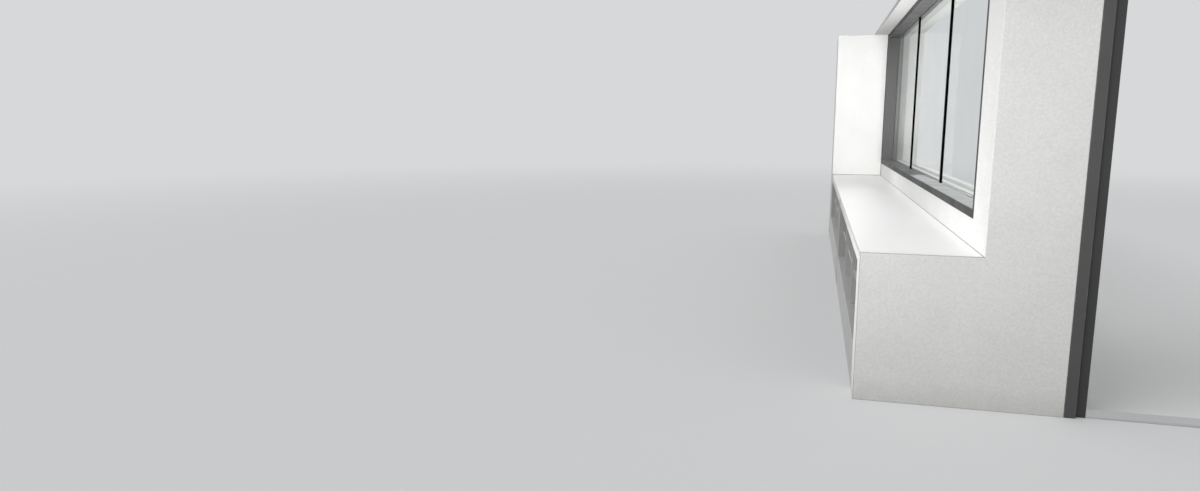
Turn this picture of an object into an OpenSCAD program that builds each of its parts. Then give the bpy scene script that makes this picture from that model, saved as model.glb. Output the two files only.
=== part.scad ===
// Window wall of a small food shop: a long window in a deep box frame over a display ledge
// with open shelving, the corner pier beside it, and the entrance opening in the front wall.
// X runs through the window wall to the outside, Y along it to its far end, Z up.
// The origin is on the floor, at the middle of the footprint. Lengths are in millimetres.

/* [Window wall] */
// Thickness of the window wall, room face to outer face
wall_thickness = 472; // [400:2:600]
// Height of the wall under the window
breast_height = 1070; // [1000:10:1200]
// Height of the ceiling, where the window and the doorway end
ceiling_height = 2880; // [2600:10:3400]
// Length of the window opening along the wall
window_length = 6820; // [4000:20:9000]
// Height of the concrete beams over the window and the doorway
beam_height = 300; // [200:10:500]

/* [Front wall and doorway] */
// Thickness of the front wall, which is also the pier's depth
front_thickness = 400; // [300:10:500]
// Width of the masonry opening for the entrance
doorway_width = 1816; // [1200:2:2600]
// Width of the pier on the outer side of the doorway
end_pier_width = 470; // [250:10:800]
// Face width of the front part of the door frame
door_face = 60; // [40:2:90]
// Face width of the stepped back part of the door frame
door_rebate = 58; // [30:2:70]
// Distance that the stepped part lies behind the front part
door_step = 25; // [10:1:40]
// Depth of the door frame in the wall
door_depth = 150; // [100:5:250]
// Wall of the door frame's hollow section
door_wall = 4; // [2:0.5:8]
// Width of the seal groove in the inner corner of the step
seal_width = 5; // [3:0.5:8]
// Depth of the seal groove
seal_depth = 6; // [3:0.5:10]
// Height of the threshold above the floor
threshold_height = 15; // [10:1:20]
// Number of V grooves along the threshold, which keep feet from slipping
threshold_grooves = 9; // [3:1:12]
// Depth of a threshold groove
threshold_groove_depth = 1.2; // [0.5:0.1:3]

/* [Far block] */
// Depth of the boxed block that ends the ledge
block_depth = 670; // [300:10:1000]

/* [Ledge and shelving] */
// Depth of the ledge, front edge to wall
ledge_depth = 670; // [500:10:800]
// Height of the top of the ledge
ledge_height = 900; // [850:10:980]
// Thickness of the ledge board
ledge_thickness = 30; // [24:1:50]
// Height of the fascia that hangs under the ledge's front edge
fascia_height = 55; // [30:5:100]
// Width of the shadow joints beside and under the ledge board
shadow_joint = 3; // [2:0.5:6]
// Thickness of the plaster lip that ends the ledge at the doorway
end_lip = 20; // [12:1:40]
// Thickness of the unit's boards
board_thickness = 25; // [16:1:30]
// Radius of the edge band round the unit's boards
board_arris = 1.5; // [0.5:0.5:4]
// Radius of the long edges of the ledge board
ledge_arris = 2.5; // [1:0.5:6]
// Thickness of the unit's back panels
back_thickness = 15; // [8:1:20]
// Width of the unit's solid cheeks at its ends and middle
cheek_width = 220; // [120:10:320]
// Height of the top of the bottom shelf
bottom_shelf_top = 300; // [200:10:360]
// Height of the top of the upper shelf
upper_shelf_top = 560; // [480:10:640]
// Distance that the upper shelf lies behind the unit's front
upper_shelf_setback = 45; // [20:5:120]
// Number of shelving bays between two cheeks
bays = 3; // [1:1:5]

/* [Window frame] */
// Depth of the box frame, room side to outer side
frame_depth = 200; // [160:5:260]
// Face width of the frame's four members
frame_face = 55; // [40:1:80]
// Wall of the frame's hollow section
section_wall = 3; // [2:0.5:5]
// Radius of the outer edges of the metal sections
metal_arris = 1.5; // [0.5:0.5:2.5]
// Radius of the corners inside a hollow section
chamber_arris = 1; // [0.5:0.5:2]
// Distance from the room face of the frame to the middle of the glass
glass_setback = 142; // [60:1:170]
// Thickness of the window glass
glass_thickness = 8; // [6:1:16]
// Depth of the rebate that takes the glass
rebate_depth = 15; // [10:1:20]
// Wall of the hollow glazing bead that closes the rebate
bead_wall = 2; // [1:0.5:3]
// Fall of the bead's face to the outside
bead_fall = 4; // [1:0.5:5]
// Gap between two beads at a corner
bead_gap = 0.5; // [0.2:0.1:2]
// Thickness of the rubber gasket on each side of the glass
gasket_thickness = 4; // [3:0.5:6]
// Gap left between the edge of the glass and the floor of its rebate
edge_clearance = 3; // [2:0.5:5]
// Length of a setting block under the glass
setting_block = 100; // [50:5:200]
// Thickness of the cover plates on the room side of the frame's sill
plate_thickness = 1.6; // [1:0.2:3]
// Distance of the cover plates from the frame's room edge
plate_inset = 1.5; // [1:0.5:10]
// Width of the joints between the cover plates
plate_joint = 2.5; // [1:0.5:6]
// Gap between a cover plate and the gasket or a mullion
plate_gap = 1; // [0.5:0.5:3]
// Width of a mullion along the wall
mullion_width = 25; // [20:1:60]
// Depth of a mullion's nose in front of the glass
mullion_nose = 10; // [4:0.5:30]
// Depth of a mullion's flange behind the glass
mullion_flange = 4; // [3:0.5:20]
// Depth of glass held in a mullion
mullion_grip = 7; // [4:0.5:8]

/* [Outer sill] */
// Distance from the outer sill's underside to the window's lower edge
sill_thickness = 40; // [30:1:70]
// Fall of the outer sill to its nose
sill_fall = 12; // [5:1:20]
// Distance that the sill's nose stands out from the wall
sill_nose = 72; // [15:1:80]
// Side of the chamfer along the top of the nose
sill_chamfer = 3; // [1:0.5:8]
// Width of the joints between the stones of the sill
sill_joint = 5; // [3:0.5:10]
// Radius of the drip groove under the nose
drip_radius = 4; // [2:0.5:6]
// Thickness of the folded white sheet of the flashing and the nose cap
sheet_thickness = 1.8; // [1:0.1:3]
// Distance that the flashing stands out from the window frame
flashing_reach = 54; // [15:1:60]
// Fall of the flashing to its outer edge
flashing_fall = 2.5; // [1:0.5:6]
// Height of the flashing's turned down edge
flashing_drop = 12; // [6:1:25]
// Height of the leg that fixes the flashing on the frame
flashing_leg = 16; // [10:1:30]
// Lap of the flashing on the glazing bead
flashing_lap = 2; // [2:1:10]
// Cover of the nose cap on the stone
cap_cover = 75; // [20:1:100]
// Distance that the nose cap hangs below the stone
cap_drop = 3; // [1:0.5:10]

/* [Ceiling margin] */
// Width of the plasterboard margin along the window wall
margin_width = 180; // [120:10:300]
// Thickness of the plasterboard
margin_thickness = 13; // [9:1:20]
// Side of the square batten that carries the margin
batten_side = 40; // [30:1:60]
// Height of the angle trim on the margin's free edge
trim_height = 25; // [20:1:40]
// Width of the angle trim's leg under the plasterboard
trim_width = 15; // [10:1:30]
// Thickness of the angle trim
trim_thickness = 2; // [1:0.5:4]

/* [Hidden] */
$fn = 48;
// Places along X: 0 is the front edge of the ledge until the part is centred
wall_x = ledge_depth;
outer_x = wall_x + wall_thickness;
door_x = outer_x;
end_pier_x = door_x + doorway_width;
total_x = end_pier_x + end_pier_width;
// Places along Y: 0 is the room face of the front wall
window_y = front_thickness;
block_y = window_y + window_length;
total_y = block_y + block_depth;
// Window frame
frame_height = ceiling_height - breast_height;
glass_x = wall_x + glass_setback;
groove_width = glass_thickness + 2 * gasket_thickness;
sight_length = window_length - 2 * frame_face;
sight_y = window_y + frame_face;
sight_low = breast_height + frame_face;
sight_height = frame_height - 2 * frame_face;
pane_count = 3;
pane_pitch = sight_length / pane_count;
rebate_floor = frame_face - rebate_depth;
bite = rebate_depth - edge_clearance;
window_sides = ["low", "high", "near", "far"];
// Outer sill, measured from the frame's outer face and from its own underside
sill_length = wall_thickness - frame_depth + sill_nose;
sill_back_top = sill_thickness - sill_fall / 4;
sill_nose_top = sill_thickness - sill_fall;
sill_slope = (sill_back_top - sill_nose_top) / sill_length;
// Door frame
door_frame_width = door_face + door_rebate;
// Shelving: each half lies between two cheeks
unit_top = ledge_height - ledge_thickness;
half_length = (block_y - 3 * cheek_width) / 2;
half_pitch = half_length + cheek_width;
bay_length = (half_length - (bays - 1) * board_thickness) / bays;
back_x = ledge_depth - back_thickness;

plaster = "#f1f1ef";
laminate = "#fafaf8";
dark_metal = "#55575a";
black_metal = "#141414";
white_metal = "#f4f4f3";
clear_glass = "#cfdcde";
grey_rubber = "#6a6b6b";
sill_stone = "#dcdcd8";
pale_metal = "#c9cbcc";

// Moves a piece from the corner of the ledge to the part's own origin
module centred() {
    translate([-total_x / 2, -total_y / 2, 0]) children();
}

// Block from one corner to the opposite one
module block(low, high) {
    translate(low) cube(high - low);
}

// Rectangle with rounded corners, from its lower left corner
module soft_square(size, radius) {
    r = min(radius, 0.4 * min(size));
    translate([r, 0]) square([size.x - 2 * r, size.y]);
    translate([0, r]) square([size.x, size.y - 2 * r]);
    for (x = [r, size.x - r], y = [r, size.y - r])
        translate([x, y]) circle(r);
}

// Profile drawn in X and Z, carried along Y
module along_y(y, length) {
    translate([0, y + length, 0]) rotate([90, 0, 0]) linear_extrude(length) children();
}

// Outline drawn in Y and Z, given its thickness along X
module across_x(x, depth) {
    translate([x, 0, 0]) rotate([90, 0, 90]) linear_extrude(depth) children();
}

// One mitred side of a rectangular ring, between the insets a and b from its outer edge
function ring_side(side, w, h, a, b) =
    side == "low" ? [[a, a], [w - a, a], [w - b, b], [b, b]] :
    side == "high" ? [[a, h - a], [b, h - b], [w - b, h - b], [w - a, h - a]] :
    side == "near" ? [[a, a], [b, b], [b, h - b], [a, h - a]] :
    [[w - a, a], [w - a, h - a], [w - b, h - b], [w - b, b]];

module wall_below_window() {
    step_x = wall_x + frame_depth;
    color(plaster) centred() along_y(window_y, window_length) polygon([
        [wall_x, 0], [outer_x, 0], [outer_x, breast_height - sill_thickness],
        [step_x, breast_height - sill_thickness], [step_x, breast_height], [wall_x, breast_height]
    ]);
}

module corner_pier() {
    color(plaster) centred() block([wall_x, 0, 0], [outer_x, front_thickness, ceiling_height]);
}

module far_pier() {
    color(plaster) centred() block([wall_x, block_y, 0], [outer_x, total_y, ceiling_height]);
}

module far_block() {
    color(plaster) centred() block([0, block_y, 0], [ledge_depth, total_y, ceiling_height]);
}

module window_beam() {
    color(plaster) centred()
        block([wall_x, 0, ceiling_height], [outer_x, total_y, ceiling_height + beam_height]);
}

module door_beam() {
    color(plaster) centred()
        block([outer_x, 0, ceiling_height], [total_x, front_thickness, ceiling_height + beam_height]);
}

module end_pier() {
    color(plaster) centred() block([end_pier_x, 0, 0], [total_x, front_thickness, ceiling_height]);
}

module ceiling_margin() {
    color(plaster) centred() block(
        [wall_x - margin_width, 0, ceiling_height],
        [wall_x, total_y, ceiling_height + margin_thickness]
    );
}

module ceiling_batten() {
    low = ceiling_height + margin_thickness;
    color("tan") centred()
        block([wall_x - batten_side, 0, low], [wall_x, total_y, low + batten_side]);
}

module ceiling_trim() {
    edge_x = wall_x - margin_width;
    color(pale_metal) centred() along_y(0, block_y) difference() {
        translate([edge_x - trim_thickness, ceiling_height - trim_thickness])
            square([trim_width, trim_height]);
        translate([edge_x, ceiling_height]) square([trim_width, trim_height]);
    }
}

// Profile carried along one side of the window and cut to a mitre at both ends. Its X is the depth
// from the room side, its Y the distance in from the edge of the opening.
module mitred_bar(side, gap = 0) {
    slack = 1;
    shift = side == "low" || side == "high" ? [gap, 0] : [0, gap];
    intersection() {
        if (side == "low")
            along_y(0, window_length) children();
        else if (side == "high")
            translate([0, 0, frame_height]) mirror([0, 0, 1]) along_y(0, window_length) children();
        else if (side == "near")
            linear_extrude(frame_height) children();
        else
            translate([0, window_length, 0]) mirror([0, 1, 0]) linear_extrude(frame_height) children();
        across_x(-slack, frame_depth + 2 * slack) translate(shift) polygon(ring_side(
            side, window_length - 2 * shift.x, frame_height - 2 * shift.y, -slack, frame_face + slack
        ));
    }
}

// Section of the box frame: a tall room chamber, then the rebate for the glass over a low chamber
module frame_section() {
    lip = glass_setback - groove_width / 2;
    difference() {
        soft_square([frame_depth, frame_face], metal_arris);
        translate([lip, rebate_floor]) square([frame_depth, frame_face]);
        translate([section_wall, section_wall])
            soft_square([lip - 2 * section_wall, frame_face - 2 * section_wall], chamber_arris);
        translate([lip, section_wall]) soft_square(
            [frame_depth - lip - section_wall, rebate_floor - 2 * section_wall], chamber_arris
        );
    }
}

module frame_member(side) {
    color(dark_metal) centred() translate([wall_x, window_y, breast_height])
        mitred_bar(side) frame_section();
}

// Section of a glazing bead: a hollow strip between the outer gasket and the frame's outer face
module bead_section() {
    start = glass_setback + groove_width / 2;
    depth = frame_depth - start;
    ends = [bead_wall, depth - bead_wall];
    tops = [for (x = ends) rebate_depth - bead_fall * x / depth - bead_wall];
    translate([start, rebate_floor]) difference() {
        polygon([[0, 0], [depth, 0], [depth, rebate_depth - bead_fall], [0, rebate_depth]]);
        polygon([[ends[0], bead_wall], [ends[1], bead_wall], [ends[1], tops[1]], [ends[0], tops[0]]]);
    }
}

module glazing_beads() {
    for (side = window_sides)
        color(dark_metal) centred() translate([wall_x, window_y, breast_height])
            mitred_bar(side, bead_gap) bead_section();
}

// Section of a mullion: a nose in front of the glass, a web between two panes, a flange behind them
module mullion_section() {
    back = mullion_nose + glass_thickness;
    soft_square([mullion_nose, mullion_width], metal_arris);
    translate([mullion_nose / 2, mullion_grip])
        square([back - mullion_nose / 2 + mullion_flange / 2, mullion_width - 2 * mullion_grip]);
    translate([back, 0]) soft_square([mullion_flange, mullion_width], metal_arris);
}

module mullion(index) {
    front = glass_x - glass_thickness / 2 - mullion_nose;
    middle = sight_y + index * pane_pitch;
    color(black_metal) centred() translate([front, middle - mullion_width / 2, sight_low])
        linear_extrude(sight_height) mullion_section();
}

// A pane reaches into the frame's rebate at its outer edges and into a mullion at the others
module pane(index) {
    low_edge = index == 0 ? -bite : mullion_width / 2 - mullion_grip;
    high_edge = index == pane_count - 1 ? -bite : mullion_width / 2 - mullion_grip;
    color(clear_glass, 0.4) centred() block(
        [glass_x - glass_thickness / 2, sight_y + index * pane_pitch + low_edge, sight_low - bite],
        [glass_x + glass_thickness / 2, sight_y + (index + 1) * pane_pitch - high_edge,
            sight_low + sight_height + bite]
    );
}

module glazing_gaskets() {
    inset = rebate_floor;
    color(grey_rubber) centred() translate([0, window_y, breast_height])
        for (x = [glass_x - groove_width / 2, glass_x + glass_thickness / 2])
            across_x(x, gasket_thickness) difference() {
                translate([inset, inset])
                    square([window_length - 2 * inset, frame_height - 2 * inset]);
                translate([frame_face, frame_face]) square([sight_length, sight_height]);
            }
}

// Two blocks carry each pane on the rebate's floor, an eighth of its length in from either end
module setting_blocks() {
    for (index = [0 : pane_count - 1], eighth = [1, 7])
        color(grey_rubber) centred() translate([
            glass_x - glass_thickness / 2,
            sight_y + (index + eighth / 8) * pane_pitch - setting_block / 2,
            breast_height + rebate_floor
        ])
            cube([glass_thickness, setting_block, edge_clearance]);
}

// Sheet plates over the frame's sill, from the room edge to the gasket, notched round the mullions
module sill_cover_plates() {
    depth = glass_setback - groove_width / 2 - plate_gap - plate_inset;
    nose_x = glass_x - glass_thickness / 2 - mullion_nose;
    notch_half = mullion_width / 2 + plate_gap;
    slack = 1;
    color(dark_metal) centred() difference() {
        for (index = [0 : pane_count - 1])
            translate([wall_x + plate_inset, 0, sight_low])
                along_y(sight_y + index * pane_pitch + plate_joint / 2, pane_pitch - plate_joint)
                    square([depth, plate_thickness]);
        for (index = [1 : pane_count - 1]) {
            middle = sight_y + index * pane_pitch;
            block([nose_x - plate_gap, middle - notch_half, sight_low - slack],
                [glass_x, middle + notch_half, sight_low + plate_thickness + slack]);
        }
    }
}

// Folded white sheet: it laps on the bead, falls to its turned down edge, and a leg fixes it on the frame
module sill_flashing() {
    t = sheet_thickness;
    lap_top = bead_fall * flashing_lap / (frame_depth - glass_setback - groove_width / 2);
    far_x = flashing_reach - t;
    far_z = -flashing_fall * far_x / flashing_reach;
    color(white_metal) centred() translate([wall_x + frame_depth, 0, sight_low - bead_fall])
        along_y(sight_y, sight_length) polygon([
            [-flashing_lap, lap_top], [0, 0], [0, -flashing_leg], [t, -flashing_leg],
            [t, -flashing_fall * t / flashing_reach], [far_x, far_z], [far_x, -flashing_drop],
            [flashing_reach, -flashing_drop], [flashing_reach, t - flashing_fall],
            [0, t], [-flashing_lap, lap_top + t]
        ]);
}

// Section of the outer sill: X runs out from the frame, Y up from the underside
module sill_section() {
    difference() {
        polygon([
            [0, 0], [sill_length, 0], [sill_length, sill_nose_top - sill_chamfer],
            [sill_length - sill_chamfer, sill_nose_top + sill_slope * sill_chamfer], [0, sill_back_top]
        ]);
        translate([sill_length - sill_nose / 2, 0]) circle(drip_radius);
    }
}

// Section of the cap: flat on the stone, down its front, and a little below it
module cap_section() {
    t = sheet_thickness;
    back = sill_length - cap_cover;
    back_top = sill_nose_top + sill_slope * cap_cover;
    polygon([
        [sill_length, -cap_drop], [sill_length, sill_nose_top], [back, back_top], [back, back_top + t],
        [sill_length + t, sill_nose_top + t - sill_slope * t], [sill_length + t, -cap_drop]
    ]);
}

// A section carried along each pane's stretch of the outer sill, with joints in line with the mullions
module sill_lengths() {
    for (index = [0 : pane_count - 1]) {
        start = index == 0 ? window_y : sight_y + index * pane_pitch + sill_joint / 2;
        end = index == pane_count - 1 ? block_y : sight_y + (index + 1) * pane_pitch - sill_joint / 2;
        translate([wall_x + frame_depth, 0, breast_height - sill_thickness])
            along_y(start, end - start) children();
    }
}

module outer_sill() {
    color(sill_stone) centred() sill_lengths() sill_section();
}

module sill_nose_cap() {
    color(white_metal) centred() sill_lengths() cap_section();
}

// The board stops short of the wall, the block and the end lip by the shadow joint
module ledge_board() {
    start = end_lip + shadow_joint;
    color(laminate) centred() translate([0, 0, unit_top]) along_y(start, block_y - shadow_joint - start)
        soft_square([ledge_depth - shadow_joint, ledge_thickness], ledge_arris);
}

module ledge_fascia() {
    for (half = [0, 1])
        color(laminate) centred() translate([0, 0, unit_top - fascia_height])
            along_y(cheek_width + half * half_pitch, half_length)
            soft_square([board_thickness, fascia_height - shadow_joint], board_arris);
}

// The near cheek is plastered with the pier and carries the lip that ends the ledge
module cheek_near() {
    color(plaster) centred() across_x(0, ledge_depth) polygon([
        [0, 0], [cheek_width, 0], [cheek_width, unit_top],
        [end_lip, unit_top], [end_lip, ledge_height], [0, ledge_height]
    ]);
}

module cheek(index) {
    y = index * half_pitch;
    color(plaster) centred() block([0, y, 0], [ledge_depth, y + cheek_width, unit_top]);
}

// Front and back boards under a bottom shelf
module plinth(half) {
    y = cheek_width + half * half_pitch;
    top = bottom_shelf_top - board_thickness;
    for (x = [0, ledge_depth - board_thickness])
        color(laminate) centred() block([x, y, 0], [x + board_thickness, y + half_length, top]);
}

module bottom_shelf(half) {
    color(laminate) centred() translate([0, 0, bottom_shelf_top - board_thickness])
        along_y(cheek_width + half * half_pitch, half_length)
        soft_square([ledge_depth, board_thickness], board_arris);
}

module upper_shelves(half) {
    y = cheek_width + half * half_pitch;
    for (bay = [0 : bays - 1])
        color(laminate) centred()
            translate([upper_shelf_setback, 0, upper_shelf_top - board_thickness])
            along_y(y + bay * (bay_length + board_thickness), bay_length)
            soft_square([back_x - upper_shelf_setback, board_thickness], board_arris);
}

module dividers(half) {
    y = cheek_width + half * half_pitch;
    for (bay = [1 : 1 : bays - 1])
        color(laminate) centred() block(
            [board_thickness, y + bay * (bay_length + board_thickness) - board_thickness,
                bottom_shelf_top],
            [back_x, y + bay * (bay_length + board_thickness), unit_top]
        );
}

module back_panel(half) {
    y = cheek_width + half * half_pitch;
    color(laminate) centred()
        block([back_x, y, bottom_shelf_top], [ledge_depth, y + half_length, unit_top]);
}

// One mitred side of the door frame, between the insets a and b, open at the floor
function portal_side(side, w, h, a, b) =
    side == "left" ? [[a, 0], [b, 0], [b, h - b], [a, h - a]] :
    side == "right" ? [[w - a, 0], [w - a, h - a], [w - b, h - b], [w - b, 0]] :
    [[a, h - a], [b, h - b], [w - b, h - b], [w - a, h - a]];

// Section of the door frame: X runs from the masonry into the doorway, Y is the depth from the
// front. It has one chamber behind each face, and a seal groove in the inner corner of the step.
module door_section() {
    inner_depth = door_depth - 2 * door_wall;
    rebate_chamber = door_step + seal_depth + door_wall;
    difference() {
        union() {
            soft_square([door_face, door_depth], metal_arris);
            translate([0, door_step])
                soft_square([door_frame_width, door_depth - door_step], metal_arris);
        }
        translate([door_face, 0]) square([seal_width, door_step + seal_depth]);
        translate([door_wall, door_wall])
            soft_square([door_face - 2 * door_wall, inner_depth], chamber_arris);
        translate([door_face, rebate_chamber]) soft_square(
            [door_rebate - door_wall, door_depth - door_wall - rebate_chamber], chamber_arris
        );
    }
}

// Profile carried along one side of the doorway and cut to its mitres
module portal_bar(side) {
    slack = 1;
    outline = portal_side(side, doorway_width, ceiling_height, -slack, door_frame_width + slack);
    intersection() {
        if (side == "left")
            linear_extrude(ceiling_height) children();
        else if (side == "right")
            translate([doorway_width, 0, 0]) mirror([1, 0, 0]) linear_extrude(ceiling_height) children();
        else
            translate([0, 0, ceiling_height]) rotate([0, 90, 0]) linear_extrude(doorway_width) children();
        along_y(-slack, door_depth + 2 * slack) polygon(outline);
    }
}

module door_member(side) {
    color(dark_metal) centred() translate([door_x, 0, 0]) portal_bar(side) door_section();
}

module door_threshold() {
    bevel = threshold_height / 2;
    start = door_step + bevel;
    end = door_depth - bevel;
    pitch = (end - start) / (threshold_grooves + 1);
    color(pale_metal) centred()
        across_x(door_x + door_frame_width, doorway_width - 2 * door_frame_width) difference() {
            polygon([
                [door_step, 0], [door_depth, 0], [door_depth, bevel], [end, threshold_height],
                [start, threshold_height], [door_step, bevel]
            ]);
            for (groove = [1 : threshold_grooves])
                translate([start + groove * pitch, threshold_height])
                    rotate(45) square(threshold_groove_depth * sqrt(2), center = true);
        }
}

wall_below_window();
corner_pier();
far_pier();
far_block();
window_beam();
door_beam();
end_pier();
ceiling_margin();
ceiling_batten();
ceiling_trim();
frame_member("low");  // frame_sill
frame_member("high");  // frame_head
frame_member("near");  // frame_jamb_near
frame_member("far");  // frame_jamb_far
mullion(1);  // mullion_near
mullion(2);  // mullion_far
pane(0);  // pane_near
pane(1);  // pane_middle
pane(2);  // pane_far
glazing_gaskets();
setting_blocks();
glazing_beads();
sill_cover_plates();
sill_flashing();
outer_sill();
sill_nose_cap();
ledge_board();
ledge_fascia();
cheek_near();
cheek(1);  // cheek_middle
cheek(2);  // cheek_far
plinth(0);  // plinth_near
plinth(1);  // plinth_far
bottom_shelf(0);  // bottom_shelf_near
bottom_shelf(1);  // bottom_shelf_far
upper_shelves(0);  // upper_shelves_near
upper_shelves(1);  // upper_shelves_far
dividers(0);  // dividers_near
dividers(1);  // dividers_far
back_panel(0);  // back_panel_near
back_panel(1);  // back_panel_far
door_member("left");  // door_jamb_left
door_member("right");  // door_jamb_right
door_member("head");  // door_head
door_threshold();
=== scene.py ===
# Window wall of a small shop with its display ledge and entrance frame, dressed for the camera
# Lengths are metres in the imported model's own frame: X out through the wall, Y along it, Z up

import math
import bpy
import numpy as np
from mathutils import Matrix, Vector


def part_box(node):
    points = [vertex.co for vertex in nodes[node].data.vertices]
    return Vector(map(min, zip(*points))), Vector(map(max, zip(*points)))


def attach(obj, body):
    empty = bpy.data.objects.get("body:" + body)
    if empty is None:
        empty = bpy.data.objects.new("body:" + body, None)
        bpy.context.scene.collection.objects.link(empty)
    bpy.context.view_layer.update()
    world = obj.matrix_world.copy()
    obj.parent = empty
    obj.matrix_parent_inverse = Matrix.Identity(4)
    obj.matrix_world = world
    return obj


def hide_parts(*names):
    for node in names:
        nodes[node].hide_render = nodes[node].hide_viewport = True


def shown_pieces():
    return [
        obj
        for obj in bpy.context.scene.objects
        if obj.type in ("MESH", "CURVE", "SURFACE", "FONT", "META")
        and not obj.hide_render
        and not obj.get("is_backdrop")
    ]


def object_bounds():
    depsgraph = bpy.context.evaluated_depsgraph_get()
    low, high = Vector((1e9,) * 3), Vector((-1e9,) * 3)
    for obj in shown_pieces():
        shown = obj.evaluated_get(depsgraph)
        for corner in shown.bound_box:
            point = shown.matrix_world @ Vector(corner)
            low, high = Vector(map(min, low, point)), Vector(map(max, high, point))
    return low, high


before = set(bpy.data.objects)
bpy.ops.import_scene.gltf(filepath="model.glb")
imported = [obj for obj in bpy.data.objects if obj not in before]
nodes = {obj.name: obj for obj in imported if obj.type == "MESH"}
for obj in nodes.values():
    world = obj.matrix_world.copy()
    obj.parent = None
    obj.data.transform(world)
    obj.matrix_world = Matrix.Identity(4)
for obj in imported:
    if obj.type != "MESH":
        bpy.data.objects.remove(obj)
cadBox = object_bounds()
mm = 0.001
print("frame loaded with", len(nodes), "nodes")


# Lowest and highest corner of a CAD node as arrays
def corners(name):
    low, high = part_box(name)
    return np.array(low), np.array(high)


# Places that several pieces share, all read from the frame
sillLow, sillHigh = corners("frame_sill")
headHigh = corners("frame_head")[1]
paneLow, paneHigh = corners("pane_middle")
outerLow, outerHigh = corners("outer_sill")
doorLow, doorHigh = corners("door_head")
jambLow, jambHigh = corners("door_jamb_left")
wallX = sillLow[0]                      # room face of the window wall
frameBackX = sillHigh[0]                # outer face of the window frame
frameFace = sillHigh[2] - sillLow[2]    # width of the frame's members as the room sees them
windowY = np.array([sillLow[1], sillHigh[1]])
windowZ = np.array([sillLow[2], headHigh[2]])
mullionY = [float(np.mean([c[1] for c in corners(name)])) for name in ("mullion_near", "mullion_far")]


# Colours are written as sRGB hex and turned linear here
def toLinear(hexColour):
    srgb = np.array([int(hexColour[i:i + 2], 16) for i in (1, 3, 5)]) / 255
    linear = np.where(srgb > 0.04045, ((srgb + 0.055) / 1.055) ** 2.4, srgb / 12.92)
    return (*linear.tolist(), 1.0)


# Adds a shader node, sets its sockets or properties by name, and links its inputs
def addNode(tree, kind, settings=None, links=None):
    node = tree.nodes.new("ShaderNode" + kind)
    for name, value in (settings or {}).items():
        if isinstance(name, int) or name in node.inputs:
            node.inputs[name].default_value = value
        else:
            setattr(node, name, value)
    for name, source in (links or {}).items():
        tree.links.new(source, node.inputs[name])
    return node


# Starts a Principled material and hands back what its pattern is built from
def newMaterial(name, settings):
    material = bpy.data.materials.new(name)
    material.use_nodes = True
    tree = material.node_tree
    shader = tree.nodes["Principled BSDF"]
    for socket, value in settings.items():
        shader.inputs[socket].default_value = value
    place = addNode(tree, "TexCoord").outputs["Object"]
    return material, tree, shader, place


# Joins colours, roughness and a height in metres to a shader's sockets
def finishMaterial(tree, shader, colour, roughness=None, height=None):
    tree.links.new(colour, shader.inputs["Base Color"])
    if roughness is not None:
        tree.links.new(roughness, shader.inputs["Roughness"])
    if height is not None:
        bump = addNode(tree, "Bump", {"Strength": 1.0, "Distance": 1.0}, {"Height": height})
        tree.links.new(bump.outputs["Normal"], shader.inputs["Normal"])


# Most values of a noise lie between these two, so contrasts that should show are mapped from them
noiseSpan = {"From Min": 0.3, "From Max": 0.7}


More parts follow.
